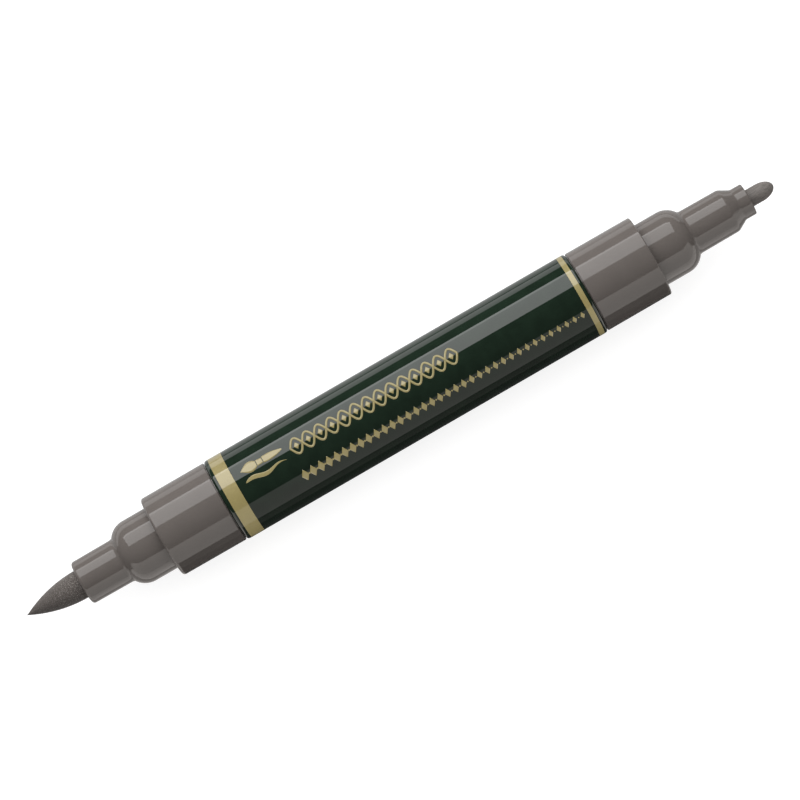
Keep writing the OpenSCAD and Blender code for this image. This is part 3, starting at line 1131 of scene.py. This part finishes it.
class MARKER_OT_ornament(bpy.types.Operator):
    """Lay the foil ornament on the barrel: a brush sign, a row of waves and a row of lozenges"""

    bl_idname = "marker.ornament"
    bl_label = "Foil Ornament"

    def execute(self, context):
        given = context.scene.marker_print
        foil = finish_of("gold_foil")
        rows = {
            "foil_brush_sign": (sign_tree(foil), {
                "Start": given.sign_start, "Length": given.sign_len, "Place": given.sign_up,
            }),
            "foil_wave_row": (wave_tree(foil), {
                "Start": given.rows_start, "Length": given.wave_len, "Waves": given.wave_count,
                "Place": given.wave_up, "Height": given.wave_height, "Line": given.wave_line,
            }),
            "foil_lozenge_row": (lozenge_tree(foil), {
                "Start": given.rows_start, "Length": given.lozenge_len,
                "Count": given.lozenge_count, "Place": given.lozenge_down,
                "Broad": given.lozenge_broad, "Fine": given.lozenge_fine,
            }),
        }
        for name, (tree, values) in rows.items():
            piece = new_object(name)
            grow(piece, tree, **values)
            hand_over(settle(piece), "barrel", "gold_foil")
        return {"FINISHED"}


# ---- stage


def soft_box(
    name, low, high, radiance, reach=0.45, size=1.6, tint=(1, 1, 1), gloss=True, matte=True
):
    """A long light that the marker's axis sees between two angles, in degrees from straight up
    towards +Y. It shows in gloss, lights matte surfaces, or both."""
    middle, half = math.radians((low + high) / 2), math.radians((high - low) / 2)
    light = bpy.data.lights.new(name, "AREA")
    light.shape = "RECTANGLE"
    light.size = size
    light.size_y = 2 * reach * math.tan(half)
    light.energy = radiance * PI * light.size * light.size_y
    light.color = tint
    lamp = bpy.data.objects.new(name, light)
    lamp.location = (0, reach * math.sin(middle), AXIS_Z + reach * math.cos(middle))
    lamp.rotation_euler = (-middle, 0, 0)
    lamp.visible_camera = False
    lamp.visible_glossy = gloss
    lamp.visible_diffuse = matte
    bpy.context.scene.collection.objects.link(lamp)
    return lamp


def end_card(name, end, start, r, angles, radiance):
    """A small card close under one end. From start outwards along X, the gloss of a cylinder of
    radius r shows it to the camera between two angles."""
    reach, outer = 50 * MM, 140 * MM
    low, high = (
        angle - math.degrees(math.asin(r * math.sin(math.radians(angle / 2)) / reach))
        for angle in angles
    )
    spread = 1 + reach / (CAMERA_Z - AXIS_Z)
    warm = (1.0, 0.95, 0.91)
    size = (outer - start) * spread
    card = soft_box(name, low, high, radiance, reach, size, warm, matte=False)
    card.location.x = end.side * (outer + start) / 2 * spread


def table_finish(nodes, place, light):
    """Pale matte table, lit from below as well, so that it stays nearly free of shadow."""
    cloud = nodes.noise(place, 0.004, 2.0)
    base = nodes.mixed(cloud, neutral(0.26), neutral(0.29))
    finish_surface(
        nodes, Base_Color=base, Roughness=0.9, Specular_IOR_Level=0.1,
        Emission_Color=neutral(1.0), Emission_Strength=light.table,
    )


def make_table(light):
    """The pale table, which nothing reflects."""
    edge = 2.0
    corners = [(-edge, -edge, 0), (edge, -edge, 0), (edge, edge, 0), (-edge, edge, 0)]
    table = new_object("table", corners, faces=[(0, 1, 2, 3)])
    table.data.materials.append(new_finish("pale_table", table_finish, light))
    table.visible_glossy = False


def make_lights(light, shoulder_r):
    """The long lights round the marker, and the cards under both ends."""
    key_top = 74.5
    fill_arc, neck_arc, rim_arc = (-90, -38), (-126, -90), (-178, -126)
    soft_box("key", 30.4, key_top, light.key, size=0.585)
    soft_box("key_rim", 69, key_top, light.key_rim, reach=0.44, size=0.57)
    soft_box("fill", *fill_arc, light.fill, tint=(1.0, 0.97, 0.93))
    soft_box("near_bounce", 102, 123, light.bounce * 2, matte=False)
    soft_box("far_bounce", 127, 176, light.bounce, matte=False)
    soft_box("wash", 5, 80, light.wash, gloss=False)
    soft_box("skirt", -112, -92, light.skirt, tint=(1.0, 0.97, 0.9), matte=False)
    neck_share, rim_share = 1.9, 0.6
    for end in (BRUSH, FINE):
        face = abs(end.face)
        seam = face - end.collar_len
        end_card("collar_card", end, seam, end.collar_r, fill_arc, light.cards)
        end_card("neck_card", end, face, shoulder_r, neck_arc, light.cards * neck_share)
        end_card("rim_card", end, face, shoulder_r, rim_arc, light.cards * rim_share)


def make_room(light):
    """The room's even light, and the pale backdrop that only the camera sees."""
    world = bpy.data.worlds.new("room")
    world.use_nodes = True
    nodes = Nodes(world.node_tree)
    seen = nodes.add("ShaderNodeLightPath", output="Is Camera Ray")
    backdrop = 0.9
    shade = nodes.mixed(seen, neutral(light.room), neutral(backdrop))
    nodes.add("ShaderNodeOutputWorld", {
        "Surface": nodes.add("ShaderNodeBackground", {"Color": shade}),
    })
    bpy.context.scene.world = world
    bpy.context.scene.view_settings.view_transform = "Standard"


def make_camera():
    """The camera, straight above the marker."""
    camera = bpy.data.cameras.new("camera")
    camera.lens = CAMERA_LENS
    camera.clip_start, camera.clip_end = 0.01, 10.0
    seat = bpy.data.objects.new("camera", camera)
    seat.location = (0, 0, CAMERA_Z)
    seat.rotation_euler = (0, 0, math.radians(CAMERA_TURN))
    bpy.context.scene.collection.objects.link(seat)
    bpy.context.scene.camera = seat


class MARKER_OT_stage(bpy.types.Operator):
    """Make the pale table, the soft light and the camera"""

    bl_idname = "marker.stage"
    bl_label = "Stage"

    def execute(self, context):
        light = context.scene.marker_light
        make_table(light)
        make_lights(light, context.scene.marker_sizes.shoulder_r)
        make_room(light)
        make_camera()
        return {"FINISHED"}


PIECES = (
    MARKER_OT_barrel, MARKER_OT_collars, MARKER_OT_holders, MARKER_OT_brush_nib,
    MARKER_OT_fine_nib, MARKER_OT_reservoir, MARKER_OT_ornament, MARKER_OT_stage,
)


class MARKER_PT_panel(bpy.types.Panel):
    """The marker's pieces and sizes"""

    bl_label = "Felt Tip Marker"
    bl_idname = "MARKER_PT_panel"
    bl_space_type = "VIEW_3D"
    bl_region_type = "UI"
    bl_category = "Marker"

    def draw(self, context):
        for piece in PIECES:
            self.layout.operator(piece.bl_idname)
        for name, group in GROUPS.items():
            box = self.layout.box()
            box.label(text=name.replace("_", " ").capitalize())
            for key in group.__annotations__:
                box.prop(getattr(context.scene, name), key)


CLASSES = (*GROUPS.values(), *PIECES, MARKER_PT_panel)


def register():
    """Add the classes, and the marker's properties to the scene."""
    for made in CLASSES:
        bpy.utils.register_class(made)
    for name, group in GROUPS.items():
        setattr(bpy.types.Scene, name, bpy.props.PointerProperty(type=group))


def unregister():
    """Take all of it out again."""
    for name in GROUPS:
        delattr(bpy.types.Scene, name)
    for made in reversed(CLASSES):
        bpy.utils.unregister_class(made)


def main():
    """Make the stage and the marker."""
    register()
    bpy.ops.marker.stage()
    bpy.ops.marker.barrel()
    bpy.ops.marker.collars()
    bpy.ops.marker.holders()
    bpy.ops.marker.brush_nib()
    bpy.ops.marker.fine_nib()
    bpy.ops.marker.reservoir()
    bpy.ops.marker.ornament()


if __name__ == "__main__":
    main()
